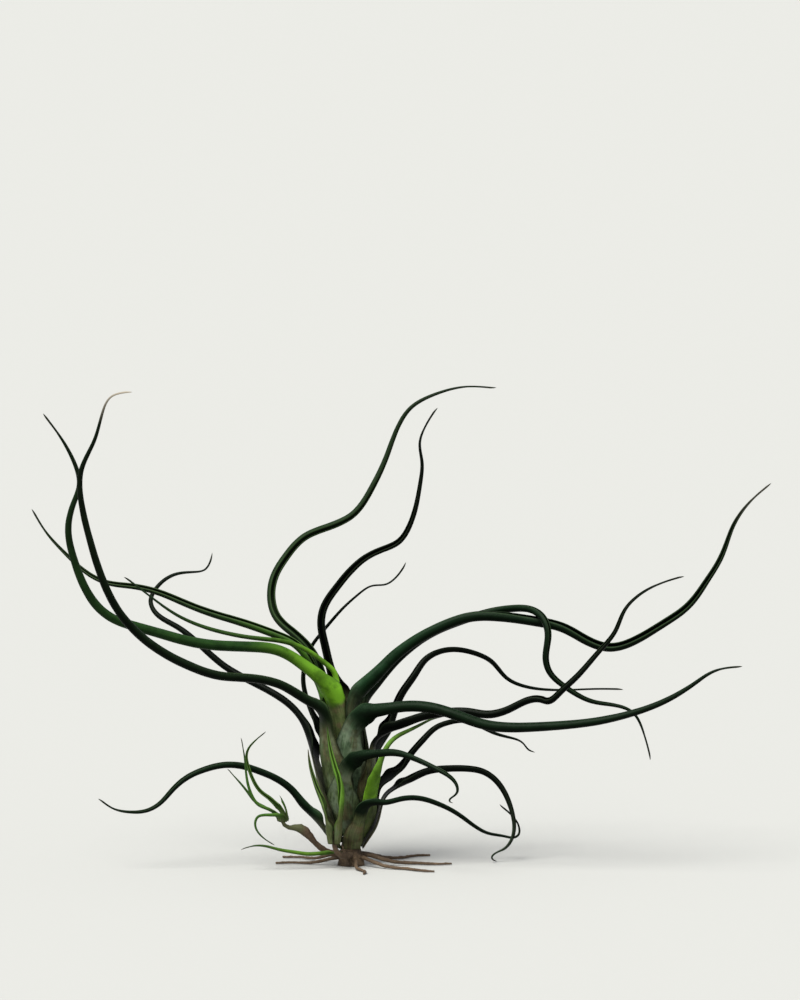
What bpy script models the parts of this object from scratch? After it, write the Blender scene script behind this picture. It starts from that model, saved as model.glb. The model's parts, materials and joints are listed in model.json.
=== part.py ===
"""Bulbous air plant: a bottle-shaped bulb of nested leaf sheaths with long rolled, twisting blades.

Every leaf is one closed solid. Its base is a thin sheath that clasps the bulb, the sheath narrows
upward to a strip, and the strip leaves the bulb and rolls up into a channelled blade that tapers
to a point. The stem with its roots is one woody solid. Units are millimetres until the mesh is
made; the origin is the centre of the flat underside of the stem.
"""

import math
from dataclasses import dataclass

import bmesh
import bpy
import numpy as np

MM = 0.001

# ---- driving dimensions, in millimetres and degrees ----
BULB_RADIUS = 7.4            # widest radius of the bulb, over the sheaths
BULB_LEAN = 2.4              # how far the neck leans toward -X at NECK_HEIGHT
NECK_HEIGHT = 42.0
LAYER_PITCH = 0.80           # sheath thickness plus the gap to the next layer in
SHEATH_WALL = 0.42
BLADE_WALL = 0.40
CLEARANCE = 0.30             # gap left between pieces that touch
FIRST_ATTACH = 4.2           # height at which the outermost sheath grows from the stem
ATTACH_STEP = 1.5            # rise from one layer's attachment to the next
SHEATH_RISE = 8.0            # height over which a sheath swells from stem to full width
NARROWING = 12.0             # length over which a sheath narrows to the blade's strip
ROLLING = 9.0                # length over which the strip rolls up into a channel
ROLL_DELAY = 1.0             # length past the bulb before the strip starts to roll
ROLL_ANGLE = 148.0           # half angle of the rolled blade; the rest is the open channel
ARC_POINTS = 7               # points across the outer side of each cross-section
SHEATH_RINGS = 6
TIP_RADIUS = 0.16
STUMP_RADIUS = 3.3           # flat cut underside of the stem
LAYER_TOPS = (17.0, 25.0, 28.0, 33.0, 36.5, 40.0, 42.0, 43.0)

DARK_GREEN = (0.020, 0.048, 0.022)
MID_GREEN = (0.045, 0.110, 0.025)
LIME_GREEN = (0.130, 0.290, 0.025)
PUP_GREEN = (0.090, 0.210, 0.030)
WOOD_BROWN = (0.060, 0.040, 0.025)


@dataclass(frozen=True)
class Leaf:
    """One leaf: where its sheath sits on the bulb and the line its rolled blade follows."""

    name: str
    layer: int               # 0 is the outermost layer of sheaths
    azimuth: float           # direction of the midrib on the bulb, from +X toward +Y
    spread: float            # half angle that the sheath wraps
    top: float               # height at which the midrib leaves the bulb
    radius: float            # outer radius of the rolled blade near its base
    colour: tuple
    rings: int               # cross-sections along the free blade
    spine: tuple             # centre line of the free blade
    twist: float = 0.0       # turn of the channel from base to tip
    rolling: float = ROLLING
    stand_off: float = 0.0   # how far the sheath's top stands away from the bulb
    drift: float = 0.0       # how far round the bulb the midrib swings on its way up
    taper: float = 0.18      # share of the blade's radius lost on the way to the tip
    neck: float = 1.0        # width where it leaves the bulb, as a share of the unrolled blade's


@dataclass(frozen=True)
class PupLeaf:
    """One small leaf of a side shoot, clasping the shoot's own short stem."""

    name: str
    foot: tuple              # point on the side shoot's axis where the leaf starts
    azimuth: float
    spread: float
    clasp: float             # radius at which the leaf clasps the shoot
    height: float            # length of the clasping part
    radius: float
    colour: tuple
    rings: int
    spine: tuple
    twist: float = 0.0
    foot_share: float = 0.86  # radius at the foot, as a share of the widest
    taper: float = 0.18
    neck: float = 1.0


LEAVES = (
    Leaf("leaf_front_low_loop", 0, 289, 44, 12.5, 0.72, DARK_GREEN, 16, (
        (3.1, -9.4, 16.3), (7.6, -9.2, 16.4), (10.7, -7.8, 16.8), (13.8, -6.2, 17.1),
        (16.7, -4.6, 16.7), (21.2, -2.0, 14.9), (26.0, 1.0, 11.9), (31.0, 4.0, 7.9),
        (34.0, 5.8, 6.7), (38.0, 7.8, 5.7), (39.8, 8.4, 5.9), (40.2, 8.6, 7.4),
        (39.5, 8.6, 9.5), (37.4, 8.2, 11.7), (35.5, 7.8, 13.6)), 60, drift=13, neck=0.65),
    Leaf("leaf_right_hook", 0, 8, 38, 16.5, 0.98, DARK_GREEN, 16, (
        (10.9, 1.5, 19.2), (13.9, 2.2, 20.6), (18.3, 3.0, 22.3), (25.2, 4.0, 22.8),
        (30.5, 4.4, 22.3), (34.0, 4.6, 20.4), (36.9, 4.8, 16.5), (38.4, 4.9, 12.5),
        (39.0, 4.9, 8.4), (38.3, 4.8, 5.3), (36.2, 4.6, 3.0), (33.7, 4.4, 1.6),
        (33.8, 4.1, 0.8), (34.9, 3.8, 0.3)), 40, neck=0.65),
    Leaf("leaf_left_low", 0, 194, 36, 10.0, 1.02, MID_GREEN, 14, (
        (-10.6, -3.2, 14.6), (-12.8, -3.6, 17.4), (-16.2, -3.9, 20.6), (-21.9, -4.4, 23.4),
        (-29.0, -5.4, 25.0),
        (-37.4, -7.0, 23.0), (-42.0, -8.0, 19.8), (-46.9, -9.0, 15.1), (-51.4, -9.6, 14.2),
        (-55.4, -10.2, 14.6), (-60.2, -11.0, 17.5)), -30, 7.0, 1.2),
    Leaf("leaf_lime_wedge", 1, 315, 42, 18.0, 0.74, LIME_GREEN, 10, (
        (5.9, -6.9, 22.6), (7.4, -7.3, 27.0), (8.8, -6.8, 29.8), (11.2, -5.6, 31.9),
        (15.2, -3.6, 33.6), (19.0, -2.0, 35.3), (22.4, -1.0, 35.9)), 20),
    Leaf("leaf_right_short", 1, 30, 27, 18.5, 0.88, DARK_GREEN, 13, (
        (10.6, 4.6, 21.9), (13.8, 5.5, 25.5), (17.4, 6.5, 29.6), (19.8, 7.2, 31.9),
        (24.3, 8.0, 33.6), (26.8, 8.3, 33.7), (31.2, 9.0, 32.2), (34.5, 9.3, 30.5),
        (38.6, 9.5, 29.3), (41.4, 9.5, 27.8), (42.6, 9.5, 26.3), (44.0, 9.5, 25.8)), -30,
         neck=0.65),
    Leaf("leaf_left_back_curl", 1, 164, 52, 25.0, 1.00, DARK_GREEN, 14, (
        (-9.2, 4.0, 29.8), (-11.7, 6.5, 34.7), (-17.8, 10.0, 39.7), (-27.9, 14.5, 44.5),
        (-34.8, 17.5, 49.5), (-41.0, 20.5, 54.3), (-46.6, 23.3, 57.5), (-48.0, 25.0, 60.3),
        (-46.0, 26.4, 64.0), (-39.8, 27.4, 67.1), (-35.8, 28.0, 67.1), (-33.3, 28.5, 71.6)), 70,
         stand_off=0.7, drift=-14),
    Leaf("leaf_front_hook", 2, 262, 58, 23.5, 1.02, DARK_GREEN, 13, (
        (0.2, -9.2, 26.5), (2.9, -11.2, 27.9), (6.4, -13.2, 28.7), (10.7, -15.5, 29.2),
        (13.8, -17.2, 28.7), (17.4, -19.0, 27.3), (20.5, -20.5, 26.0), (23.3, -21.8, 24.5),
        (25.2, -22.6, 22.2), (25.0, -22.9, 20.3), (23.4, -22.8, 18.8), (24.3, -23.6, 18.2)), 90,
         stand_off=0.35, drift=22, neck=0.58),
    Leaf("leaf_right_back_arch", 2, 32, 51, 27.0, 1.08, DARK_GREEN, 15, (
        (8.0, 5.6, 31.0), (9.6, 7.0, 34.4), (10.7, 8.0, 37.2), (12.1, 9.0, 40.2),
        (14.5, 10.5, 43.5), (16.2, 11.8, 46.0), (18.5, 13.0, 48.5), (21.9, 14.5, 49.8),
        (26.0, 16.0, 49.8), (30.5, 17.0, 48.5), (34.0, 18.0, 46.3), (36.9, 18.5, 42.9),
        (39.8, 19.0, 41.1), (43.8, 19.5, 40.0), (49.0, 20.0, 39.5), (60.5, 20.2, 39.7),
        (65.2, 20.2, 39.5)), -60, taper=0.55, neck=0.7),
    Leaf("leaf_back_thin", 2, 119, 28, 28.0, 0.62, DARK_GREEN, 13, (
        (-7.6, 7.0, 32.8), (-9.8, 9.2, 36.8), (-11.2, 11.0, 41.0), (-11.3, 12.4, 45.0),
        (-9.8, 13.0, 50.2), (-6.2, 13.0, 55.2), (-3.1, 12.8, 58.9), (2.6, 12.3, 64.2),
        (6.2, 12.0, 65.9), (9.0, 12.0, 66.3), (13.1, 12.0, 71.4)), 50, taper=0.35),
    Leaf("leaf_right_kinked", 3, 345, 58, 29.5, 1.22, DARK_GREEN, 18, (
        (7.2, -1.8, 31.8), (10.9, -3.0, 34.2), (13.9, -4.0, 35.7), (18.3, -5.0, 36.7),
        (22.9, -6.2, 37.8), (27.1, -7.5, 38.1), (31.7, -8.8, 37.5), (36.2, -10.0, 38.6),
        (41.0, -11.5, 40.5), (44.3, -12.6, 41.9), (45.9, -13.1, 41.3), (47.9, -13.7, 42.0),
        (51.2, -14.4, 45.0), (54.8, -14.4, 48.5), (58.8, -14.0, 53.1), (62.1, -13.8, 57.1),
        (64.0, -13.8, 60.4), (65.2, -13.7, 63.4), (68.1, -13.4, 66.4), (72.6, -13.0, 69.0),
        (79.3, -12.6, 71.0)), 60, taper=0.32, neck=0.55),
    Leaf("leaf_left_front_long", 3, 213, 56, 33.0, 1.25, DARK_GREEN, 17, (
        (-6.2, -4.3, 37.4), (-9.1, -6.0, 40.1), (-15.2, -9.0, 44.1), (-22.6, -12.5, 46.7),
        (-30.0, -15.5, 47.6), (-39.5, -20.0, 51.2), (-49.3, -25.0, 58.0), (-56.7, -30.0, 68.0),
        (-61.0, -33.0, 80.2), (-63.6, -35.0, 91.7), (-63.0, -37.0, 101.4), (-59.3, -38.5, 109.1),
        (-58.3, -39.3, 114.3), (-56.3, -39.8, 117.2), (-51.4, -40.0, 118.3)), 90, drift=-14,
         neck=0.72),
    Leaf("leaf_right_front_long", 4, 287, 62, 33.5, 1.38, DARK_GREEN, 15, (
        (2.6, -5.6, 36.7), (6.4, -7.5, 38.3), (13.8, -10.0, 39.6), (22.4, -12.5, 38.8),
        (28.1, -14.0, 36.8), (34.0, -15.0, 35.5), (41.0, -16.0, 35.3), (49.0, -17.0, 35.9),
        (57.1, -18.0, 36.8), (62.9, -19.0, 38.1), (68.6, -20.0, 39.8), (74.3, -21.0, 42.2),
        (80.2, -22.0, 45.6), (83.6, -22.7, 48.3), (86.8, -23.2, 49.9), (92.9, -24.0, 51.0)), -50,
         drift=35, neck=0.58),
    Leaf("leaf_back_s_curve", 4, 120, 40, 36.0, 1.12, DARK_GREEN, 17, (
        (-6.0, 5.6, 41.6), (-7.5, 6.2, 47.0), (-10.2, 7.2, 51.4), (-13.8, 9.0, 54.8),
        (-17.5, 12.0, 57.9), (-19.0, 14.5, 62.0), (-18.6, 16.5, 66.4), (-16.4, 18.5, 70.6),
        (-12.9, 19.5, 74.9), (-8.8, 20.5, 77.6), (-1.0, 22.0, 80.5), (3.1, 23.0, 84.8),
        (6.2, 24.5, 89.8), (8.8, 26.0, 95.8), (12.2, 27.5, 103.9), (15.6, 28.0, 107.5),
        (24.8, 28.5, 111.2), (34.8, 28.0, 111.5)), 80, 7.0, 0.2),
    Leaf("leaf_right_drooping", 5, 28, 56, 37.0, 1.18, DARK_GREEN, 18, (
        (4.2, 3.2, 41.3), (7.4, 3.6, 45.2), (11.3, 3.2, 49.5), (17.2, 2.8, 54.4),
        (25.0, 1.6, 58.2), (34.5, -0.6, 61.4), (38.6, -2.4, 62.2), (42.1, -5.0, 62.4),
        (45.2, -8.0, 61.2), (46.7, -9.8, 58.6), (46.9, -10.5, 55.2), (46.4, -10.4, 51.3),
        (47.3, -10.0, 47.8), (50.2, -9.6, 44.8), (53.8, -9.5, 42.5), (58.1, -9.6, 40.5),
        (62.9, -9.9, 39.8), (65.9, -10.2, 39.0), (68.2, -10.5, 36.8), (69.8, -10.7, 32.8),
        (71.2, -11.0, 26.7)), -80, 7.0),
    Leaf("leaf_left_upper", 5, 153, 34, 38.0, 1.08, MID_GREEN, 14, (
        (-7.4, 2.8, 43.4), (-9.6, 3.2, 48.0), (-12.0, 3.2, 51.8), (-18.0, 4.4, 55.0),
        (-25.0, 6.0, 57.3), (-37.0, 9.0, 60.8), (-49.0, 12.0, 65.0), (-59.0, 14.0, 66.4),
        (-66.0, 16.0, 70.7), (-73.5, 18.0, 78.6), (-76.4, 19.0, 83.3)), -40, 4.5),
    Leaf("leaf_right_long", 6, 336, 56, 39.5, 1.45, DARK_GREEN, 18, (
        (3.8, -2.3, 43.5), (7.3, -2.3, 47.8), (14.2, -2.7, 53.8), (22.4, -3.5, 58.4),
        (28.1, -4.0, 60.3), (34.0, -4.5, 60.6), (39.8, -5.0, 60.0), (44.3, -5.5, 59.4),
        (49.0, -6.2, 58.5), (53.6, -7.0, 56.5), (60.0, -8.0, 53.6), (65.7, -8.8, 54.4),
        (71.0, -9.5, 57.3), (76.7, -10.2, 61.0), (81.2, -11.0, 64.9), (85.0, -12.0, 70.6),
        (88.3, -13.0, 76.5), (90.7, -13.8, 83.0), (92.9, -14.5, 86.9), (96.0, -15.2, 90.5),
        (99.8, -16.0, 93.8)), 110, 7.0),
    Leaf("leaf_upright_wavy", 6, 84, 28, 39.5, 1.00, DARK_GREEN, 17, (
        (-4.1, 3.2, 44.4), (-5.2, 2.7, 48.4), (-6.5, 1.4, 54.1), (-7.1, 0.5, 58.0),
        (-6.7, 0.0, 61.2), (-4.5, -1.0, 65.4), (-1.4, -2.5, 69.6), (2.1, -4.0, 73.4),
        (6.2, -5.5, 76.1), (9.8, -6.8, 77.7), (12.0, -7.5, 79.4), (14.5, -8.5, 84.0),
        (16.2, -9.3, 91.3), (16.9, -10.0, 97.6), (16.4, -10.8, 101.9), (16.9, -11.2, 105.1),
        (20.7, -12.0, 111.3)), -70, 6.0),
    Leaf("leaf_left_bright", 7, 222, 62, 40.5, 1.38, LIME_GREEN, 18, (
        (-7.0, -3.5, 45.0), (-10.6, -4.3, 48.3), (-15.2, -5.3, 51.6), (-21.4, -7.2, 53.4),
        (-34.8, -12.0, 54.8), (-46.4, -16.0, 58.2), (-55.2, -20.0, 61.4), (-59.6, -22.0, 64.6),
        (-63.5, -24.0, 71.0), (-66.4, -26.5, 80.5), (-66.4, -28.5, 88.0), (-64.4, -29.5, 93.5),
        (-64.6, -30.5, 98.3), (-67.5, -32.0, 105.0), (-72.6, -33.5, 112.5)), 60, 6.0),
    Leaf("leaf_left_innermost", 8, 195, 88, 40.5, 0.70, LIME_GREEN, 11, (
        (-3.1, -0.4, 44.6), (-5.4, -0.6, 48.2), (-9.0, -0.9, 51.0), (-14.5, -2.2, 53.8),
        (-21.4, -4.3, 55.1), (-30.0, -6.4, 56.8), (-39.5, -8.0, 60.2), (-44.5, -8.6, 63.4),
        (-48.3, -8.6, 66.2), (-54.0, -8.6, 70.4)), 40, 6.0),
)

FRONT_PUP = (-4.0, -10.2, 6.6)
GRASS_PUP = (-16.2, -7.8, 11.6)
STEM_FOOT = (0.0, 0.0, 2.7)

PUP_LEAVES = (
    PupLeaf("front_pup_leaf_green", FRONT_PUP, 352, 84, 2.05, 6.8, 0.85, PUP_GREEN, 10, (
        (-1.9, -10.4, 16.4), (-2.7, -10.7, 21.6), (-4.2, -10.5, 26.6), (-5.2, -10.0, 31.2),
        (-5.7, -9.6, 35.2)), 112, 0.72, neck=0.7),
    PupLeaf("front_pup_leaf_olive", FRONT_PUP, 180, 84, 2.05, 6.4, 0.70, PUP_GREEN, 8, (
        (-6.9, -9.9, 16.8), (-8.5, -9.6, 21.3), (-9.7, -9.2, 25.4), (-10.2, -8.9, 29.2)), -80, 0.72,
            neck=0.6),
    PupLeaf("grass_pup_leaf_tall", GRASS_PUP, 62, 30, 1.50, 1.4, 0.52, PUP_GREEN, 10, (
        (-17.2, -6.3, 15.3), (-19.2, -6.9, 16.9), (-21.9, -7.8, 19.3), (-23.8, -8.3, 23.0),
        (-24.8, -8.5, 27.8), (-23.3, -8.8, 30.6), (-20.2, -9.0, 33.4)), 40),
    PupLeaf("grass_pup_leaf_upright", GRASS_PUP, 235, 24, 1.50, 1.4, 0.48, PUP_GREEN, 9, (
        (-18.4, -9.9, 14.6), (-21.2, -10.4, 15.2), (-23.5, -10.7, 18.4),
        (-24.6, -10.8, 21.7), (-25.1, -10.9, 26.4), (-26.2, -11.0, 32.2)), -40),
    PupLeaf("grass_pup_leaf_left", GRASS_PUP, 172, 26, 1.50, 1.4, 0.45, PUP_GREEN, 8, (
        (-19.2, -7.8, 14.6), (-21.6, -8.7, 15.4), (-24.8, -9.1, 19.2), (-29.5, -9.3, 24.5)), 30),
    PupLeaf("grass_pup_leaf_stub", GRASS_PUP, 4, 20, 1.50, 1.4, 0.45, PUP_GREEN, 4, (
        (-15.6, -7.6, 15.6), (-17.4, -7.9, 18.4)), 0),
    PupLeaf("grass_pup_leaf_curl", GRASS_PUP, 298, 24, 1.50, 0.8, 0.40, PUP_GREEN, 9, (
        (-16.2, -11.2, 13.6), (-18.8, -12.2, 13.9), (-22.0, -12.2, 13.4), (-22.7, -12.0, 11.0),
        (-20.9, -11.8, 8.3), (-18.1, -11.6, 6.4)), 20),
    PupLeaf("base_leaf_low", STEM_FOOT, 231, 8, 3.65, 0.7, 0.60, PUP_GREEN, 9, (
        (-5.2, -5.6, 3.9), (-10.0, -7.6, 3.8), (-14.6, -8.9, 4.6), (-18.1, -9.3, 5.3),
        (-21.9, -9.5, 6.1), (-26.2, -9.6, 5.0)), 30),
)

# roots: foot on the stem, then points down to and along the ground, and a starting radius
ROOTS = (
    ("root_right_long", 0.62, ((1.6, -0.2, 3.0), (5.0, -0.8, 2.4), (10.0, -1.2, 1.0),
                               (15.0, 0.2, 0.50), (20.0, -0.8, 0.42), (24.0, 0.4, 0.34))),
    ("root_right_front", 0.56, ((1.2, -1.0, 2.6), (4.2, -3.6, 1.8), (8.6, -7.0, 0.62),
                                (12.6, -8.6, 0.46), (17.0, -12.0, 0.38), (20.0, -12.6, 0.32))),
    ("root_right_back", 0.56, ((1.2, 1.0, 2.8), (4.4, 3.4, 2.2), (8.0, 7.4, 0.80),
                               (12.0, 9.4, 0.48), (15.0, 13.4, 0.38), (19.0, 14.8, 0.32))),
    ("root_back", 0.58, ((-0.2, 1.6, 2.6), (-0.8, 4.8, 2.0), (-0.2, 9.4, 0.66),
                         (-2.2, 13.6, 0.46), (-1.0, 18.0, 0.36))),
    ("root_left_back", 0.52, ((-1.2, 1.0, 2.9), (-4.4, 3.2, 2.2), (-8.4, 6.4, 0.78),
                              (-11.8, 10.4, 0.46), (-16.4, 11.4, 0.34))),
    ("root_left", 0.50, ((-1.4, 0.2, 1.9), (-4.8, 1.0, 1.4), (-9.0, 0.4, 0.56),
                         (-13.0, 1.6, 0.44), (-18.0, 1.0, 0.34))),
    ("root_front", 0.54, ((0.2, -1.5, 2.2), (1.2, -4.6, 1.6), (1.4, -9.2, 0.58),
                          (3.4, -13.4, 0.44), (3.0, -17.0, 0.34))),
)

# runners: short woody necks that carry the two side shoots, with radii at both ends and a swelling
RUNNERS = (
    ("front_pup_runner", 1.05, 0.45, 0.0, (
        (-0.2, -1.2, 2.6), (-0.8, -4.6, 2.9), (-3.0, -8.8, 4.0), (-4.0, -10.2, 6.6),
        (-4.0, -10.2, 9.6))),
    ("grass_pup_runner", 0.90, 0.46, 0.62, (
        (-1.0, -0.2, 2.9), (-5.0, -2.4, 3.3), (-8.4, -4.6, 5.9), (-10.4, -6.0, 8.5),
        (-12.6, -6.9, 10.0), (-14.7, -7.6, 10.1), (-16.2, -7.8, 11.3), (-16.2, -7.8, 13.2))),
)


def clear_scene():
    """Start from an empty scene."""
    for obj in list(bpy.data.objects):
        bpy.data.objects.remove(obj, do_unlink=True)


def smooth(value, start, end):
    """Ease from 0 at start to 1 at end."""
    t = min(max((value - start) / (end - start), 0.0), 1.0)
    return t * t * (3.0 - 2.0 * t)


def unit(vector):
    """The vector at length one."""
    return vector / np.linalg.norm(vector)


def bulb_axis(z):
    """Centre of the bulb at a height; the neck leans toward -X."""
    t = max(z - 6.0, 0.0) / (NECK_HEIGHT - 6.0)
    return np.array((-BULB_LEAN * t * t, 0.0, z))


def bulb_radius(z):
    """Outline of the bulb over its sheaths: narrow foot, round belly, bottle neck."""
    heights = (4.0, 8.0, 12.0, 16.0, 20.0, 24.0, 27.0, 30.0, 33.0, 36.0, 40.0, 46.0)
    shares = (0.84, 0.92, 0.97, 1.0, 1.0, 0.98, 0.93, 0.84, 0.73, 0.63, 0.53, 0.42)
    return BULB_RADIUS * float(np.interp(z, heights, shares))


def stem_radius(z):
    """Radius of the woody stem inside the bulb."""
    heights = (0.0, 3.0, 5.0, 8.0, 12.0, 16.0, 17.2)
    radii = (STUMP_RADIUS, 2.7, 2.2, 1.8, 1.25, 0.75, 0.45)
    return float(np.interp(z, heights, radii))


def layer_present(layer, z):
    """1 while a layer of sheaths still wraps the bulb at this height, falling to 0 above it."""
    return 1.0 - smooth(z, LAYER_TOPS[layer] - 6.0, LAYER_TOPS[layer])


def layer_radius(layer, z):
    """Outer radius of a layer: each one rides inside the layers that still wrap the bulb."""
    above = sum(layer_present(i, z) for i in range(min(layer + 1, len(LAYER_TOPS))))
    if layer == len(LAYER_TOPS):
        above += 1.0
    full = bulb_radius(z) + LAYER_PITCH * (1.0 - above)
    attach = FIRST_ATTACH + ATTACH_STEP * layer
    foot = stem_radius(attach) + CLEARANCE + SHEATH_WALL
    rise = min(max((z - attach) / SHEATH_RISE, 0.0), 1.0)
    return foot + (max(full, foot) - foot) * math.sin(0.5 * math.pi * rise)


def cubic_curve(points, per_span=24):
    """Smooth curve through points: a natural cubic spline on centripetal parameters."""
    pts = np.array(points, dtype=float)
    gaps = np.sqrt(np.linalg.norm(np.diff(pts, axis=0), axis=1))
    knots = np.concatenate(((0.0,), np.cumsum(gaps)))
    count = len(pts)
    matrix = np.eye(count)
    right = np.zeros((count, 3))
    for i in range(1, count - 1):
        before, after = gaps[i - 1], gaps[i]
        matrix[i, i - 1:i + 2] = (before, 2.0 * (before + after), after)
        right[i] = 6.0 * ((pts[i + 1] - pts[i]) / after - (pts[i] - pts[i - 1]) / before)
    second = np.linalg.solve(matrix, right)
    out = []
    for i in range(count - 1):
        h = gaps[i]
        for t in np.linspace(knots[i], knots[i + 1], per_span, endpoint=False):
            a, b = knots[i + 1] - t, t - knots[i]
            out.append((second[i] * a ** 3 + second[i + 1] * b ** 3) / (6.0 * h)
                       + (pts[i] / h - second[i] * h / 6.0) * a
                       + (pts[i + 1] / h - second[i + 1] * h / 6.0) * b)
    out.append(pts[-1])
    return np.array(out)


class Path:
    """A dense curve with arc length, tangents and a frame that does not spin."""

    def __init__(self, points):
        self.points = cubic_curve(points)
        steps = np.linalg.norm(np.diff(self.points, axis=0), axis=1)
        self.length = np.concatenate(((0.0,), np.cumsum(steps)))
        slopes = np.gradient(self.points, axis=0)
        self.tangents = slopes / np.linalg.norm(slopes, axis=1)[:, None]
        self.normals = None

    def carry_normal(self, start, normal):
        """Carry a normal along the curve from a length, turning it only as the curve bends."""
        first = int(np.searchsorted(self.length, start))
        self.normals = np.zeros_like(self.points)
        for step, stop in ((1, len(self.points)), (-1, -1)):
            carried = unit(normal - np.dot(normal, self.tangents[first]) * self.tangents[first])
            for i in range(first, stop, step):
                tangent = self.tangents[i]
                carried = unit(carried - np.dot(carried, tangent) * tangent)
                self.normals[i] = carried

    def at(self, s, values):
        """Value of a per-point quantity at a length."""
        return np.array([np.interp(s, self.length, values[:, k]) for k in range(3)])

    def stations(self, start, count, bend_weight=8.0):
        """Lengths from start to the end, closer together where the curve bends."""
        turn = np.linalg.norm(np.diff(self.tangents, axis=0), axis=1)
        cost = np.diff(self.length) + bend_weight * turn
        total = np.concatenate(((0.0,), np.cumsum(cost)))
        first = np.interp(start, self.length, total)
        return np.interp(np.linspace(first, total[-1], count), total, self.length)


def blade_radius(radius, taper, u):
    """Blade radius along the free length u: a flared base, a slow taper, a fine tip."""
    flare = 1.0 + 0.30 * (1.0 - smooth(u, 0.0, 0.13))
    narrowed = (1.0 - taper * smooth(u, 0.0, 0.9)) * max(1.0 - u ** 3, 0.0) ** 0.75
    return max(radius * flare * narrowed, TIP_RADIUS)


def arc_section(centre, dorsal, side, radius, half_angle, wall):
    """Closed outline of one cross-section: outer arc one way, inner arc back."""
    angles = np.linspace(-half_angle, half_angle, ARC_POINTS)
    ring = [centre + radius * (math.cos(a) * dorsal + math.sin(a) * side) for a in angles]
    inner = radius - wall
    ring += [centre + inner * (math.cos(a) * dorsal + math.sin(a) * side) for a in angles[::-1]]
    return ring


def leaf_mesh(name, rings, tip):
    """Join cross-sections into one closed skin with a flat base and a pointed tip."""
    bm = bmesh.new()
    loops = [[bm.verts.new(point * MM) for point in ring] for ring in rings]
    size = len(loops[0])
    for low, high in zip(loops, loops[1:]):
        for i in range(size):
            j = (i + 1) % size
            bm.faces.new((low[i], low[j], high[j], high[i]))
    half = size // 2
    for i in range(half - 1):
        k = size - 1 - i
        bm.faces.new((loops[0][i + 1], loops[0][i], loops[0][k], loops[0][k - 1]))
    pole = bm.verts.new(tip * MM)
    for i in range(size):
        bm.faces.new((loops[-1][i], loops[-1][(i + 1) % size], pole))
    bmesh.ops.triangulate(bm, faces=bm.faces[:])
    bmesh.ops.recalc_face_normals(bm, faces=bm.faces[:])
    mesh = bpy.data.meshes.new(name)
    bm.to_mesh(mesh)
    bm.free()
    mesh.shade_smooth()
    return mesh


def make_material(name, colour, roughness, metallic=0.0):
    """Principled material with one colour."""
    material = bpy.data.materials.new(name + "_material")
    material.use_nodes = True
    shader = material.node_tree.nodes["Principled BSDF"]
    shader.inputs["Base Color"].default_value = (*colour, 1.0)
    shader.inputs["Roughness"].default_value = roughness
    shader.inputs["Metallic"].default_value = metallic
    material.diffuse_color = (*colour, 1.0)
    return material


def add_object(name, mesh, colour, roughness=0.55):
    """Put a mesh in the scene with its own material."""
    obj = bpy.data.objects.new(name, mesh)
    mesh.materials.append(make_material(name, colour, roughness))
    bpy.context.collection.objects.link(obj)
    return obj


def loft_leaf(path, leave, radial, leaf, narrowing, rolling, twist_by):
    """Cross-sections of a leaf along its path.

    Up to the length `leave` the path is the midrib on the sheath's outer surface and each section
    is an arc about the bulb's axis; `radial` gives the level line from that axis to the path.
    Past it the arc rolls up until the path is the blade's centre.
    """
    up = np.array((0.0, 0.0, 1.0))
    turn_start = max(leave - 2.0, 0.35 * leave)
    path.carry_normal(turn_start, unit(radial(turn_start)))
    end = path.length[-1]
    free = end - leave
    strip = math.radians(ROLL_ANGLE) * blade_radius(leaf.radius, leaf.taper, 0.0) * 2.0 * leaf.neck
    wide = math.radians(leaf.spread) * 2.0
    sheath_stations = list(np.linspace(0.0, leave, SHEATH_RINGS))
    stations = sheath_stations + list(path.stations(leave, leaf.rings + 1)[1:])
    rings = []
    for s in stations[:-1]:
        point, tangent = path.at(s, path.points), unit(path.at(s, path.tangents))
        u = max(s - leave, 0.0) / free
        if s < turn_start:
            k = smooth(s, turn_start - 5.0, turn_start)
            normal = unit((1.0 - k) * up + k * tangent)
            outward = unit(radial(s))
            dorsal = unit(outward - np.dot(outward, normal) * normal)
        else:
            normal = tangent
            dorsal = path.at(s, path.normals)
            dorsal = unit(dorsal - np.dot(dorsal, normal) * normal)
        side = np.cross(normal, dorsal)
        turn = math.radians(leaf.twist) * smooth(u, 0.04, twist_by)
        dorsal, side = (math.cos(turn) * dorsal + math.sin(turn) * side,
                        math.cos(turn) * side - math.sin(turn) * dorsal)
        blade = blade_radius(leaf.radius, leaf.taper, u)
        roll = smooth(s, leave + ROLL_DELAY, leave + ROLL_DELAY + rolling)
        on_sheath = np.linalg.norm(radial(min(s, leave)))
        rho = on_sheath * (blade / on_sheath) ** (roll ** 0.8)
        narrow = smooth(s, leave - narrowing, leave)
        width = (1.0 - narrow) * wide * on_sheath + narrow * min(strip, wide * on_sheath)
        blade_width = 2.0 * math.radians(ROLL_ANGLE) * blade
        width = (1.0 - roll) * width + roll * blade_width
        half_angle = min(width / (2.0 * rho), math.radians(ROLL_ANGLE))
        wall = min((1.0 - roll) * SHEATH_WALL + roll * BLADE_WALL, 0.62 * rho)
        centre = point - (1.0 - roll) * rho * dorsal
        rings.append(arc_section(centre, dorsal, side, rho, half_angle, wall))
    return rings, path.points[-1]


def sheath_midrib(leaf, z, share):
    """Point of a leaf's midrib on the bulb, at a height and a share of the way up its sheath."""
    azimuth = math.radians(leaf.azimuth - leaf.drift * (1.0 - share * share))
    reach = layer_radius(leaf.layer, z) + leaf.stand_off * smooth(z, leaf.top - 7.0, leaf.top)
    return bulb_axis(z) + reach * np.array((math.cos(azimuth), math.sin(azimuth), 0.0))


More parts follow.
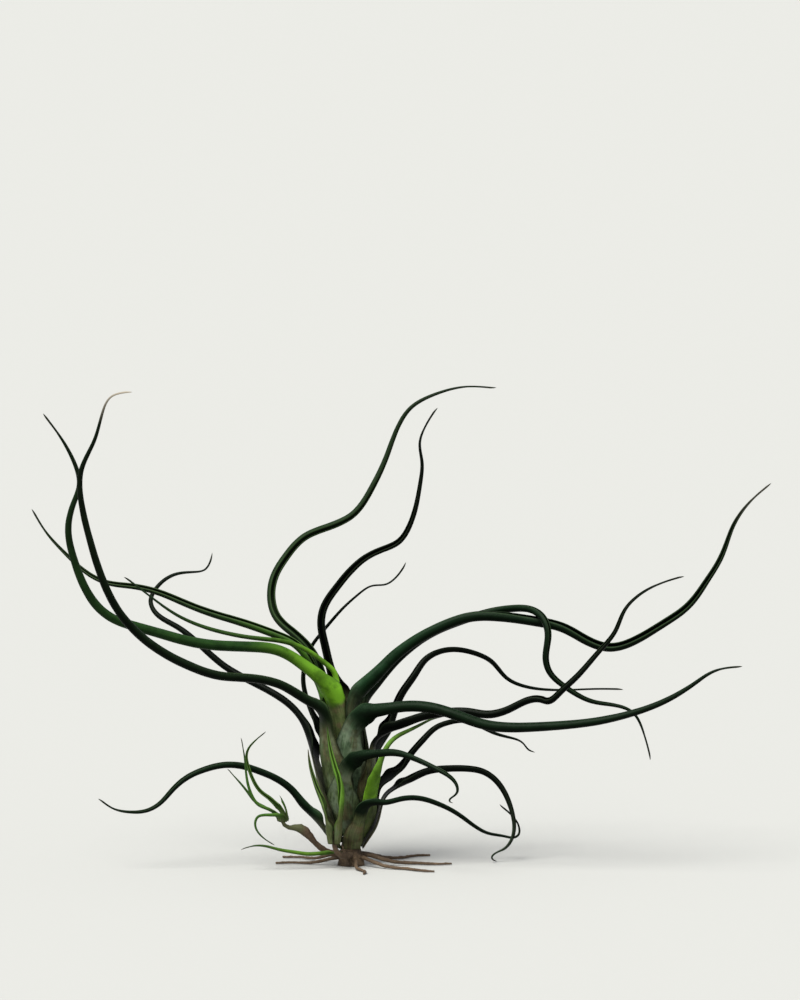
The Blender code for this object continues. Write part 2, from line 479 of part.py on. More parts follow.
def build_leaf(leaf):
    """One leaf of the main bulb."""
    attach = FIRST_ATTACH + ATTACH_STEP * leaf.layer
    shares = np.linspace(0.0, 1.0, max(4, int((leaf.top - attach) / 3.0) + 2))
    midrib = [sheath_midrib(leaf, attach + (leaf.top - attach) * share, share) for share in shares]
    path = Path(midrib + [np.array(p) for p in leaf.spine])
    leave = path.length[24 * (len(shares) - 1)]

    def radial(s):
        point = path.at(s, path.points)
        return point - bulb_axis(point[2])

    rings, tip = loft_leaf(path, leave, radial, leaf, NARROWING, leaf.rolling, 1.0)
    return add_object(leaf.name, leaf_mesh(leaf.name, rings, tip), leaf.colour)


def build_pup_leaf(leaf):
    """One leaf of a side shoot."""
    azimuth = math.radians(leaf.azimuth)
    outward = np.array((math.cos(azimuth), math.sin(azimuth), 0.0))
    foot = np.array(leaf.foot)
    shares = (0.0, 0.35, 0.7, 1.0)
    midrib = [foot + outward * leaf.clasp * (leaf.foot_share + (1.0 - leaf.foot_share)
                                             * math.sin(0.62 * math.pi * t))
              + np.array((0.0, 0.0, leaf.height * t)) for t in shares]
    path = Path(midrib + [np.array(p) for p in leaf.spine])
    leave = path.length[24 * (len(shares) - 1)]

    def radial(s):
        point = path.at(s, path.points)
        return np.array((point[0] - foot[0], point[1] - foot[1], 0.0))

    rings, tip = loft_leaf(path, leave, radial, leaf, 0.4 * leave, 0.5 * ROLLING, 0.5)
    return add_object(leaf.name, leaf_mesh(leaf.name, rings, tip), leaf.colour)


def tube_object(name, points, start_radius, end_radius, sides=7, rings=9, swell=0.0):
    """Tapered solid tube along a smooth curve, closed with flat ends, swollen past its middle."""
    path = Path(points)
    path.carry_normal(0.0, np.array((0.31, 0.22, 0.92)))
    bm = bmesh.new()
    loops = []
    for s in path.stations(0.0, rings, 2.0):
        point, normal = path.at(s, path.points), unit(path.at(s, path.normals))
        side = np.cross(unit(path.at(s, path.tangents)), normal)
        share = s / path.length[-1]
        radius = start_radius + (end_radius - start_radius) * share
        radius += swell * smooth(share, 0.45, 0.64) * (1.0 - smooth(share, 0.66, 0.84))
        loop = []
        for i in range(sides):
            a = 2.0 * math.pi * i / sides
            loop.append(bm.verts.new((point + radius * (math.cos(a) * normal + math.sin(a) * side)) * MM))
        loops.append(loop)
    for low, high in zip(loops, loops[1:]):
        for i in range(sides):
            j = (i + 1) % sides
            bm.faces.new((low[i], low[j], high[j], high[i]))
    bm.faces.new(loops[0][::-1])
    bm.faces.new(loops[-1])
    bmesh.ops.recalc_face_normals(bm, faces=bm.faces[:])
    mesh = bpy.data.meshes.new(name)
    bm.to_mesh(mesh)
    bm.free()
    obj = bpy.data.objects.new(name, mesh)
    bpy.context.collection.objects.link(obj)
    return obj


def turned_stem(name, sides=18):
    """Woody stem: a turned profile from the flat stump to the tip inside the bulb."""
    heights = (0.0, 1.2, 3.0, 5.0, 8.0, 12.0, 16.0, 17.2)
    bm = bmesh.new()
    loops = []
    for z in heights:
        radius = stem_radius(z)
        loop = []
        for i in range(sides):
            a = 2.0 * math.pi * i / sides
            swell = 1.0 + (0.06 * math.cos(3.0 * a + 0.8 * z) if z > 0.0 else 0.0)
            loop.append(bm.verts.new((radius * swell * math.cos(a) * MM,
                                      radius * swell * math.sin(a) * MM, z * MM)))
        loops.append(loop)
    for low, high in zip(loops, loops[1:]):
        for i in range(sides):
            j = (i + 1) % sides
            bm.faces.new((low[i], low[j], high[j], high[i]))
    bm.faces.new(loops[0][::-1])
    bm.faces.new(loops[-1])
    bmesh.ops.recalc_face_normals(bm, faces=bm.faces[:])
    mesh = bpy.data.meshes.new(name)
    bm.to_mesh(mesh)
    bm.free()
    return add_object(name, mesh, WOOD_BROWN, 0.85)


def grow_into(stem, limb):
    """Union a root or runner with the stem and keep the limb as a hidden cutter."""
    limb.display_type = "WIRE"
    limb.hide_render = True
    modifier = stem.modifiers.new(limb.name, "BOOLEAN")
    modifier.operation = "UNION"
    modifier.solver = "EXACT"
    modifier.object = limb


def build_stem():
    """Stem, roots and runners as one solid, flat underneath."""
    stem = turned_stem("stem_and_roots")
    for name, radius, points in ROOTS:
        grow_into(stem, tube_object(name, points, radius, 0.28))
    for name, radius, end_radius, swell, points in RUNNERS:
        grow_into(stem, tube_object(name, points, radius, end_radius, 8, 14, swell))
    return stem


def main():
    """Build the plant."""
    clear_scene()
    build_stem()
    for leaf in LEAVES:
        build_leaf(leaf)
    for leaf in PUP_LEAVES:
        build_pup_leaf(leaf)


main()
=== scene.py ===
"""Bulbous air plant: the finished leaves, stem, floor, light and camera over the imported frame.

Each leaf of the frame is a coarse closed skin of cross-sections. A leaf is read back from it as a
midrib with a roll radius, a half angle and a wall at each section, smoothed, and woven again as a
fine leaf with thin margins, ribs and a slightly uneven blade. All lengths are in metres.
"""

import json
import logging
import math
from collections.abc import Callable
from dataclasses import dataclass, field, replace
from enum import Enum
from typing import Any

import bmesh
import bpy
import numpy as np
from mathutils import Matrix, Vector, noise

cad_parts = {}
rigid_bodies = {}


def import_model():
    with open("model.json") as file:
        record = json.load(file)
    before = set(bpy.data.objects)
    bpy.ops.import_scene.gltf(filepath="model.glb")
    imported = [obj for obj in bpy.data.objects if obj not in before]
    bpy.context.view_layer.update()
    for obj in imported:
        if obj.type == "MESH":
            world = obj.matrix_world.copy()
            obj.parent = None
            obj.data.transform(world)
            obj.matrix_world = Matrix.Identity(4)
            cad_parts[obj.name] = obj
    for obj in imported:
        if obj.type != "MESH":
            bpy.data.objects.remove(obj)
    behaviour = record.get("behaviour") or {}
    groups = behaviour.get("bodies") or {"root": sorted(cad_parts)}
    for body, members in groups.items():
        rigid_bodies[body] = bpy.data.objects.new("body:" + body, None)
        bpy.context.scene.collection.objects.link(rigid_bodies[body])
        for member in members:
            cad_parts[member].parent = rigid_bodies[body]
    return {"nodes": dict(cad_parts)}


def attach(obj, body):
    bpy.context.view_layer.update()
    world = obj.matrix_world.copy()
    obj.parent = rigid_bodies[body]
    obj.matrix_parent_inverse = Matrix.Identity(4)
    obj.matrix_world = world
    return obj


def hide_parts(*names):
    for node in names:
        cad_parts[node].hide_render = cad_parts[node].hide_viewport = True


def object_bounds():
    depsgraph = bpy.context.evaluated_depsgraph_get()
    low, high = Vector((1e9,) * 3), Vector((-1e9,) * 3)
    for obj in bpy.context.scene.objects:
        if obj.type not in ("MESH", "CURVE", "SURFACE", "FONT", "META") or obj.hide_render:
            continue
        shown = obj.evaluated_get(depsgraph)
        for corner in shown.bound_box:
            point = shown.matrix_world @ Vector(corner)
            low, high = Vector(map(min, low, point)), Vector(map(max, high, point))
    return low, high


logging.basicConfig(level=logging.INFO, format="%(message)s")
LOG = logging.getLogger("air_plant")

for leftover in list(bpy.data.objects):
    bpy.data.objects.remove(leftover, do_unlink=True)

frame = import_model()
CAD_BOX = [[float(c) for c in corner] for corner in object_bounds()]

MM = 0.001
MM_PER_METRE = 1000.0
SAME_POINT = 1e-7                # points of a leaf's skin nearer than this are one
STEM = "stem_and_roots"
FLOW, LIFE, FACES = "leaf_flow", "leaf_life", "leaf_faces"    # attributes of a leaf's skin
Colour = tuple[float, float, float]


def put(name: str, data: bpy.types.ID) -> bpy.types.Object:
    """Add an object to the scene.

    Args:
        name: the object's name.
        data: its mesh, light or camera.

    Returns:
        The object.
    """
    thing = bpy.data.objects.new(name, data)
    bpy.context.scene.collection.objects.link(thing)
    return thing


# ---- node weaving ----

def number_operator(operation: str, reflected: bool = False) -> Callable[..., "Signal"]:
    """Make an operator of Signal that adds one Math node.

    Args:
        operation: the node's operation.
        reflected: whether the signal stands on the operator's right.

    Returns:
        The method.
    """
    def method(signal: "Signal", *others: Any) -> "Signal":
        """Add the node.

        Args:
            signal: the signal itself.
            others: the other numbers or signals.

        Returns:
            The node's result.
        """
        operands = (*others, signal) if reflected else (signal, *others)
        node = signal.weaver.node("ShaderNodeMath", {"operation": operation}, dict(enumerate(operands)))
        return Signal(signal.weaver, node.outputs[0])

    return method


@dataclass
class Signal:
    """A number socket used in Python arithmetic; each operation adds a Math node."""

    weaver: "Weaver"
    socket: bpy.types.NodeSocket

    __add__ = number_operator("ADD")
    __radd__ = number_operator("ADD", reflected=True)
    __sub__ = number_operator("SUBTRACT")
    __rsub__ = number_operator("SUBTRACT", reflected=True)
    __mul__ = number_operator("MULTIPLY")
    __rmul__ = number_operator("MULTIPLY", reflected=True)
    __truediv__ = number_operator("DIVIDE")
    __rtruediv__ = number_operator("DIVIDE", reflected=True)
    __pow__ = number_operator("POWER")
    __abs__ = number_operator("ABSOLUTE")
    sign = number_operator("SIGN")
    floor = number_operator("FLOOR")
    sine = number_operator("SINE")
    cosine = number_operator("COSINE")
    at_least = number_operator("MAXIMUM")
    at_most = number_operator("MINIMUM")

    def ease(self, low: float, high: float) -> "Signal":
        """Ease from 0 at low to 1 at high.

        Args:
            low: value that gives 0.
            high: value that gives 1; it may be below low, and then the result falls.

        Returns:
            The eased share, kept between 0 and 1.
        """
        ends = (0.0, 1.0) if low < high else (1.0, 0.0)
        node = self.weaver.node("ShaderNodeMapRange", {"interpolation_type": "SMOOTHSTEP"}, {
            "Value": self, "From Min": min(low, high), "From Max": max(low, high),
            "To Min": ends[0], "To Max": ends[1]})
        return Signal(self.weaver, node.outputs[0])


@dataclass
class Arrow:
    """A vector socket used in Python arithmetic; each operation adds a Vector Math node."""

    weaver: "Weaver"
    socket: bpy.types.NodeSocket

    def _math(self, operation: str, sockets: dict) -> "Arrow":
        """Add a Vector Math node.

        Args:
            operation: the node's operation.
            sockets: values or links by socket name or index.

        Returns:
            The node's vector result.
        """
        node = self.weaver.node("ShaderNodeVectorMath", {"operation": operation}, sockets)
        return Arrow(self.weaver, node.outputs[0])

    def __add__(self, other: Any) -> "Arrow":
        """Sum."""
        return self._math("ADD", {0: self, 1: other})

    def __sub__(self, other: Any) -> "Arrow":
        """Difference."""
        return self._math("SUBTRACT", {0: self, 1: other})

    def __mul__(self, scale: Any) -> "Arrow":
        """The vector at another length.

        Args:
            scale: a number or signal, or a tuple that stretches it along each axis.

        Returns:
            The scaled vector.
        """
        if isinstance(scale, tuple):
            return self._math("MULTIPLY", {0: self, 1: scale})
        return self._math("SCALE", {0: self, "Scale": scale})

    def __rmul__(self, scale: Any) -> "Arrow":
        """The same, with the number on the left."""
        return self * scale

    def parts(self) -> tuple[Signal, Signal, Signal]:
        """Its three components."""
        node = self.weaver.node("ShaderNodeSeparateXYZ", {}, {0: self})
        return tuple(Signal(self.weaver, out) for out in node.outputs)


class Weaver:
    """Adds nodes to one shader or geometry tree."""

    def __init__(self, tree: bpy.types.NodeTree) -> None:
        """Start on a tree."""
        self.tree = tree

    def node(self, kind: str, settings: dict | None = None, sockets: dict | None = None) -> bpy.types.Node:
        """Add one node.

        Args:
            kind: the node's type.
            settings: properties of the node, set before its sockets.
            sockets: values, signals, arrows or sockets, by input name or index.

        Returns:
            The node.
        """
        node = self.tree.nodes.new(kind)
        for key, value in (settings or {}).items():
            setattr(node, key, value)
        for key, value in (sockets or {}).items():
            self.plug(node.inputs[key], value)
        return node

    def plug(self, target: bpy.types.NodeSocket, value: Any) -> None:
        """Link a signal or socket into an input, or set the input's own value.

        Args:
            target: the input socket.
            value: a Signal, an Arrow, a socket, or a plain value.
        """
        if isinstance(value, (Signal, Arrow)):
            self.tree.links.new(value.socket, target)
        elif isinstance(value, bpy.types.NodeSocket):
            self.tree.links.new(value, target)
        elif isinstance(value, tuple) and len(value) == 3 and len(target.default_value) == 4:
            target.default_value = (*value, 1.0)
        else:
            target.default_value = value

    def mix(self, share: Any, first: Any, second: Any, blend: str = "MIX") -> bpy.types.NodeSocket:
        """Mix two colours.

        Args:
            share: 0 for the first colour, 1 for the second.
            first: a colour or colour socket.
            second: a colour or colour socket.
            blend: how the second colour is laid over the first.

        Returns:
            The mixed colour's socket.
        """
        node = self.node("ShaderNodeMix", {"data_type": "RGBA", "blend_type": blend, "clamp_factor": True},
                         {0: share, 6: first, 7: second})
        return node.outputs[2]

    def speckle(self, place: Any, scale: float, detail: float = 2.0, roughness: float = 0.5,
                seed: Signal | None = None) -> Signal:
        """Smooth random pattern between 0 and 1.

        Args:
            place: the vector that the pattern follows.
            scale: how many features there are in each unit of it.
            detail: how many finer levels are added.
            roughness: how strong the finer levels are.
            seed: shifts the pattern from leaf to leaf, where it is given.

        Returns:
            The pattern.
        """
        settings, sockets = ({}, {}) if seed is None else ({"noise_dimensions": "4D"}, {"W": seed})
        sockets.update({"Vector": place, "Scale": scale, "Detail": detail, "Roughness": roughness})
        return Signal(self, self.node("ShaderNodeTexNoise", settings, sockets).outputs[0])

    def vector(self, x: Any, y: Any, z: Any) -> Arrow:
        """A vector from three numbers or signals."""
        return Arrow(self, self.node("ShaderNodeCombineXYZ", {}, {0: x, 1: y, 2: z}).outputs[0])


# ---- finishes ----

def toned(colour: Colour, factor: float) -> Colour:
    """The colour made lighter or darker."""
    return tuple(c * factor for c in colour)


def bare_material(name: str, plain: Colour) -> tuple[bpy.types.Material, Weaver]:
    """Start a material with an empty tree.

    Args:
        name: the material's name.
        plain: its colour where no shader is shown.

    Returns:
        The material and the builder of its tree.
    """
    material = bpy.data.materials.new(name)
    material.use_nodes = True
    material.diffuse_color = (*plain, 1.0)
    material.node_tree.nodes.clear()
    return material, Weaver(material.node_tree)


class LeafSurface:
    """What a leaf's finish follows: the place on the leaf, and patterns laid along it."""

    STREAKS = (110.0, 2400.0, 0.0)       # to a metre, along the leaf and across it
    PATCHES = (120.0, 230.0, 0.0)        # the same for the sheath's blotches
    PATCH_DRIFT = 90.0                   # how fast blotches change from leaf to leaf
    CLOUDS = 300.0
    BLOOM = 330.0
    BLOOM_STRETCH = (1.0, 1.0, 0.55)
    SCALES = 3400.0                      # silvery scales to a metre
    SCALE_RIM, SCALE_HEART = 0.55, 0.22  # distance from a scale's middle, in scales

    def __init__(self, w: Weaver) -> None:
        """Read the leaf's attributes and lay the patterns.

        Args:
            w: the builder of the material's tree.
        """
        self.w = w
        flow, life = self._attribute(FLOW), self._attribute(LIFE)
        spot = Arrow(w, w.node("ShaderNodeTexCoord").outputs["Object"])
        self.outside = flow.parts()[2]                          # -1 in the channel, 1 outside
        self.upward = self._attribute(FACES).parts()[2]         # -1 facing down, 1 facing up; drives the painted shade underneath and the painted highlight on top
        self.share, self.across, self.blade = life.parts()
        self.sideways = abs(self.across)                        # 0 on the midrib, 1 at a margin

        self.striae = w.speckle(flow * self.STREAKS, 1.0, 2.0, 0.55)
        self.cloud = w.speckle(spot, self.CLOUDS, 4.0, 0.6)
        self.patch = w.speckle(flow * self.PATCHES + spot * self.PATCH_DRIFT, 1.0, 4.0, 0.62)
        self.bloom = w.speckle(spot * self.BLOOM_STRETCH, self.BLOOM, 3.0, 0.6)
        cells = w.node("ShaderNodeTexVoronoi", {"feature": "F1"}, {"Vector": spot, "Scale": self.SCALES})
        self.scale = Signal(w, cells.outputs["Distance"]).ease(self.SCALE_RIM, self.SCALE_HEART)

    def _attribute(self, name: str) -> Arrow:
        """One of the vectors that the leaf's skin carries."""
        return Arrow(self.w, self.w.node("ShaderNodeAttribute", {"attribute_name": name}).outputs["Vector"])


@dataclass(frozen=True)
class LeafFinish:
    """How one leaf looks from its sheath to its tip. Colours are linear."""

    blade: Colour = (0.0064, 0.014, 0.0052)
    young: Colour = (0.0088, 0.021, 0.0074)      # colour where the blade leaves the bulb
    young_until: float = 0.16                    # share of the blade over which it fades
    late: Colour = (0.008, 0.015, 0.007)         # colour toward the tip
    late_over: tuple[float, float] = (0.45, 0.92)
    greens: tuple[float, float] = (0.12, 0.85)   # how far rolled the leaf is where the sheath's colour ends
    sheath: Colour = (0.0636, 0.0792, 0.0346)
    stain: Colour = (0.086, 0.068, 0.036)        # dry brown patches on the sheath
    stained: float = 0.45
    silver: float = 0.3                          # how much pale bloom lies on the sheath
    silver_colour: Colour = (0.15, 0.19, 0.13)
    margin: Colour = (0.06, 0.095, 0.035)
    tip: Colour = (0.017, 0.019, 0.012)
    tip_reach: float = 0.05
    scales: float = 0.3                          # how much the silvery scales show; on upward faces only, so partly a painted highlight
    scale_colour: Colour = (0.12, 0.16, 0.11)
    shaded: float = 1.0                          # how much painted shade darkens the underside
    shade: Colour = (0.18, 0.21, 0.16)           # what is left of its colour under the painted shade
    painted_channel_shade: float = 0.62                        # how much painted shade darkens the channel
    roughness: float = 0.4
    relief: float = 0.12 * MM                    # height of the fine lines and scales
    specular: float = 0.03

    def _on_blade(self, leaf: LeafSurface) -> bpy.types.NodeSocket:
        """Colour of the free blade, young at its foot and late toward its tip.

        Args:
            leaf: the place and the patterns.

        Returns:
            The colour's socket.
        """
        grown = leaf.share.ease(0.0, self.young_until) + (leaf.striae - 0.5) * 0.25
        colour = leaf.w.mix(grown, self.young, self.blade)
        return leaf.w.mix(leaf.share.ease(*self.late_over), colour, self.late)

    def _on_sheath(self, leaf: LeafSurface) -> bpy.types.NodeSocket:
        """Colour of the sheath: stained, darkened in blotches, streaked and bloomed, with dark seams of
        painted shade along its margins.

        Args:
            leaf: the place and the patterns.

        Returns:
            The colour's socket.
        """
        colour = self.sheath
        for strength, laid in (
                (leaf.patch.ease(0.47, 0.56) * (0.35 + self.stained), self.stain),
                (leaf.patch.ease(0.47, 0.36) * 0.8, toned(self.sheath, 0.3)),
                (leaf.striae.ease(0.42, 0.7) * 0.55, toned(self.sheath, 1.9)),
                (leaf.bloom.ease(0.46, 0.62) * self.silver, self.silver_colour),
                # painted shade: the sheath's margins, where it meets the next leaf, are darkened
                (leaf.sideways.ease(0.78, 0.98) * 0.85, toned(self.sheath, 0.15))):
            colour = leaf.w.mix(strength, colour, laid)
        return colour

    def _weathered_and_shaded(self, leaf: LeafSurface, colour: bpy.types.NodeSocket) -> bpy.types.NodeSocket:
        """Add blotches, pale margins, painted shade in the channel and on the underside, the dry tip, and
        the scales, which paint a highlight on upward faces.

        Args:
            leaf: the place and the patterns.
            colour: the leaf's colour so far.

        Returns:
            The colour's socket.
        """
        # painted shade: faces turned down are darkened, most of all on the blade
        painted_underside_shade = leaf.upward.ease(0.55, -0.45) * (leaf.blade * 0.75 + 0.25) * self.shaded
        # silvery scales, shown only on faces turned up, so they also paint a highlight on the leaf's top
        scales_and_top_highlight = leaf.scale * (0.35 + leaf.cloud) * self.scales * leaf.upward.ease(0.0, 0.9)
        for strength, laid, blend in (
                (leaf.cloud.ease(0.42, 0.66) * 0.5, toned(self.blade, 0.35), "MIX"),
                (leaf.sideways.ease(0.8, 0.97) * leaf.blade * 0.4, self.margin, "MIX"),
                # painted shade inside the rolled channel
                (leaf.outside.ease(0.1, -0.2) * leaf.blade * self.painted_channel_shade, toned(self.blade, 0.2), "MIX"),
                (painted_underside_shade, self.shade, "MULTIPLY"),
                (leaf.share.ease(1.0 - self.tip_reach, 1.0), self.tip, "MIX"),
                (scales_and_top_highlight * 0.45, self.scale_colour, "MIX")):
            colour = leaf.w.mix(strength, colour, laid, blend)
        return colour

    def dress(self, name: str) -> bpy.types.Material:
        """Make the leaf's material.

        Args:
            name: the material's name.

        Returns:
            A material that follows the leaf's own attributes.
        """
        material, w = bare_material(name, self.blade)
        leaf = LeafSurface(w)
        greened = leaf.blade + (leaf.patch - 0.5) * 0.3 - leaf.across * leaf.across * 0.12
        colour = w.mix(greened.ease(*self.greens), self._on_sheath(leaf), self._on_blade(leaf))
        height = leaf.striae * 0.55 + leaf.scale * 0.18 + leaf.cloud * 0.35
        bump = w.node("ShaderNodeBump", {}, {"Strength": 0.35, "Distance": self.relief, "Height": height})
        rough = self.roughness + leaf.scale * 0.12 - leaf.striae * 0.06 + leaf.share.ease(0.9, 1.0) * 0.2
        shader = w.node("ShaderNodeBsdfPrincipled", {}, {
            "Base Color": self._weathered_and_shaded(leaf, colour), "Roughness": rough,
            "Normal": bump.outputs[0], "Specular IOR Level": self.specular})
        w.node("ShaderNodeOutputMaterial", {}, {"Surface": shader.outputs[0]})
        return material


@dataclass(frozen=True)
class WoodFinish:
    """Dark woody stem, runners and wiry roots."""

    heart: Colour = (0.03, 0.019, 0.011)
    ridge: Colour = (0.12, 0.082, 0.048)
    root: Colour = (0.085, 0.056, 0.034)
    shoot: Colour = (0.052, 0.062, 0.024)      # green-brown swelling under the grassy shoot
    shoot_reach: float = 6.4 * MM
    roots_from: tuple[float, float] = (3.5 * MM, 8.0 * MM)    # where the wood turns root, from the axis
    roughness: float = 0.82
    relief: float = 0.2 * MM
    specular: float = 0.25

    def dress(self, name: str, shoot_foot: np.ndarray) -> bpy.types.Material:
        """Make the wood's material.

        Args:
            name: the material's name.
            shoot_foot: where the grassy shoot's leaves stand.

        Returns:
            A material on object coordinates.
        """
        material, w = bare_material(name, self.heart)
        spot = Arrow(w, w.node("ShaderNodeTexCoord").outputs["Object"])
        coarse = w.speckle(spot, 420.0, 4.0, 0.6)
        grain = w.speckle(spot * (1.0, 1.0, 0.35), 2300.0, 3.0, 0.6)
        x, y, _ = spot.parts()
        away = ((x * x + y * y) ** 0.5).ease(*self.roots_from)
        colour = w.mix(coarse.ease(0.35, 0.7), self.heart, self.ridge)
        colour = w.mix(away * 0.7, colour, self.root)
        colour = w.mix(grain.ease(0.55, 0.75) * 0.4, colour, toned(self.ridge, 1.8))
        east, north, high = (spot - tuple(float(c) for c in shoot_foot)).parts()
        near = (east * east + north * north + high * high) ** 0.5 + (coarse - 0.5) * 2.0 * MM
        colour = w.mix(near.ease(self.shoot_reach, 0.7 * self.shoot_reach) * 0.85, colour, self.shoot)
        bump = w.node("ShaderNodeBump", {}, {"Strength": 0.6, "Distance": self.relief,
                                             "Height": coarse * 0.6 + grain * 0.5})
        shader = w.node("ShaderNodeBsdfPrincipled", {}, {
            "Base Color": colour, "Roughness": self.roughness - grain * 0.1, "Normal": bump.outputs[0],
            "Specular IOR Level": self.specular})
        w.node("ShaderNodeOutputMaterial", {}, {"Surface": shader.outputs[0]})
        return material


BOTTLE = LeafFinish()
NIGHT = replace(
    BOTTLE, blade=(0.0024, 0.0042, 0.0022), young=(0.0027, 0.0048, 0.0024),
    late=(0.0048, 0.0085, 0.0044), margin=(0.022, 0.032, 0.016), scales=0.06)
DEEP = replace(
    BOTTLE, blade=(0.005, 0.0135, 0.0054), young=(0.0072, 0.02, 0.0082), late=(0.006, 0.013, 0.006),
    margin=(0.04, 0.07, 0.03), scales=0.24)
LIME = replace(
    BOTTLE, blade=(0.03, 0.076, 0.015), young=(0.13, 0.3, 0.018), young_until=0.3,
    late=(0.01, 0.023, 0.01), sheath=(0.1204, 0.2288, 0.0259), stained=0.0, silver=0.0,
    margin=(0.09, 0.17, 0.026), scales=0.12, shaded=0.55)
SHOOT = replace(
    BOTTLE, blade=(0.065, 0.15, 0.02), young=(0.105, 0.21, 0.026), young_until=0.5,
    late=(0.04, 0.08, 0.02), sheath=(0.0671, 0.0792, 0.0317), stained=0.3, margin=(0.17, 0.28, 0.06),
    tip_reach=0.08, scales=0.12, shaded=0.45)
GRASS = replace(
    SHOOT, blade=(0.04, 0.105, 0.015), young=(0.06, 0.13, 0.022), late=(0.03, 0.056, 0.02),
    sheath=(0.0482, 0.0669, 0.0216), tip=(0.06, 0.06, 0.048), tip_reach=0.16)

LEAF_FINISHES: dict[str, LeafFinish] = {
    "leaf_front_low_loop": replace(
        DEEP, sheath=(0.0817, 0.0933, 0.036), stained=0.55, silver=0.15, stain=(0.1, 0.08, 0.042),
        greens=(0.05, 0.6)),
    "leaf_right_hook": replace(
        NIGHT, late=(0.03, 0.044, 0.026), sheath=(0.055, 0.0598, 0.0245), stained=0.6, silver=0.12,
        tip=(0.016, 0.016, 0.011), greens=(0.0, 0.45)),
    "leaf_left_low": replace(
        DEEP, young=(0.014, 0.044, 0.017), young_until=0.14, sheath=(0.0378, 0.0581, 0.0187),
        stained=0.35, silver=0.06),
    "leaf_lime_wedge": replace(
        LIME, blade=(0.09, 0.19, 0.026), young=(0.15, 0.33, 0.02), young_until=0.45,
        late=(0.04, 0.072, 0.022), greens=(0.0, 0.18), sheath=(0.0516, 0.0669, 0.0245)),
    "leaf_right_short": replace(NIGHT, sheath=(0.0602, 0.0634, 0.0259), stained=0.6, greens=(0.0, 0.4)),
    "leaf_left_back_curl": replace(
        NIGHT, sheath=(0.0688, 0.0757, 0.0389), stained=0.45, silver=0.35, greens=(0.05, 0.5)),
    "leaf_front_hook": replace(
        DEEP, sheath=(0.0602, 0.0845, 0.0374), stained=0.35, silver=0.5, greens=(0.1, 0.7)),
    "leaf_right_back_arch": replace(
        NIGHT, sheath=(0.0688, 0.0686, 0.0302), stained=0.6, greens=(0.0, 0.4)),
    "leaf_back_thin": NIGHT,
    "leaf_right_kinked": replace(
        NIGHT, sheath=(0.086, 0.0898, 0.036), stained=0.65, silver=0.3, greens=(0.0, 0.3)),
    "leaf_left_front_long": replace(
        BOTTLE, sheath=(0.055, 0.0757, 0.0288), stained=0.45, silver=0.3, tip=(0.34, 0.3, 0.24),
        tip_reach=0.1),
    "leaf_right_front_long": replace(
        DEEP, sheath=(0.0482, 0.0757, 0.0403), stained=0.15, silver=0.6, greens=(0.1, 0.75)),
    "leaf_back_s_curve": replace(
        DEEP, blade=(0.012, 0.025, 0.009), margin=(0.046, 0.085, 0.026), late=(0.009, 0.017, 0.007),
        painted_channel_shade=0.45),
    "leaf_right_drooping": DEEP,
    "leaf_left_upper": replace(
        BOTTLE, young=(0.064, 0.17, 0.016), young_until=0.46, blade=(0.012, 0.028, 0.009), painted_channel_shade=0.2,
        sheath=(0.0774, 0.1496, 0.0216), stained=0.0, silver=0.0),
    "leaf_right_long": replace(
        DEEP, young=(0.01, 0.034, 0.013), young_until=0.3, painted_channel_shade=0.45, late=(0.011, 0.02, 0.0085),
        tip=(0.09, 0.086, 0.07), tip_reach=0.12, sheath=(0.0413, 0.0686, 0.0331), stained=0.1),
    "leaf_upright_wavy": NIGHT,
    "leaf_left_bright": replace(
        LIME, young_until=0.24, blade=(0.0135, 0.04, 0.01), late=(0.006, 0.012, 0.0054),
        margin=(0.05, 0.115, 0.02), greens=(0.02, 0.18), sheath=(0.0568, 0.0757, 0.0259), stained=0.45),
    "leaf_left_innermost": replace(LIME, blade=(0.03, 0.066, 0.015), young_until=0.5, painted_channel_shade=0.3),
    "front_pup_leaf_green": replace(SHOOT, blade=(0.09, 0.215, 0.022)),
    "front_pup_leaf_olive": replace(
        SHOOT, blade=(0.048, 0.086, 0.026), young=(0.085, 0.15, 0.035), late=(0.045, 0.062, 0.026),
        tip=(0.06, 0.046, 0.024), tip_reach=0.22),
    "base_leaf_low": replace(GRASS, blade=(0.09, 0.19, 0.022)),
}


# ---- reading a leaf back from its frame solid ----

def ease(value: np.ndarray, low: float, high: float) -> np.ndarray:
    """Ease from 0 at low to 1 at high.

    Args:
        value: numbers to ease.
        low: where the result is 0.
        high: where the result is 1.

    Returns:
        The eased shares.
    """
    t = np.clip((value - low) / (high - low), 0.0, 1.0)
    return t * t * (3.0 - 2.0 * t)


def unit_rows(rows: np.ndarray) -> np.ndarray:
    """Each row at length one."""
    return rows / np.maximum(np.linalg.norm(rows, axis=1), 1e-12)[:, None]


def natural_curve(knots: np.ndarray, values: np.ndarray, at: np.ndarray) -> np.ndarray:
    """Smooth curve through points: a natural cubic spline.

    Args:
        knots: rising parameter of each point.
        values: the points, one row each.
        at: parameters to read the curve at.

    Returns:
        One row for each parameter.
    """
    count, gaps = len(knots), np.diff(knots)
    matrix, right = np.eye(count), np.zeros_like(values)
    for i in range(1, count - 1):
        matrix[i, i - 1:i + 2] = (gaps[i - 1], 2.0 * (gaps[i - 1] + gaps[i]), gaps[i])
        right[i] = 6.0 * ((values[i + 1] - values[i]) / gaps[i] - (values[i] - values[i - 1]) / gaps[i - 1])
    second = np.linalg.solve(matrix, right)
    i = np.clip(np.searchsorted(knots, at, side="right") - 1, 0, count - 2)
    h, a, b = gaps[i][:, None], (knots[i + 1] - at)[:, None], (at - knots[i])[:, None]
    return ((second[i] * a ** 3 + second[i + 1] * b ** 3) / (6.0 * h)
            + (values[i] / h - second[i] * h / 6.0) * a + (values[i + 1] / h - second[i + 1] * h / 6.0) * b)


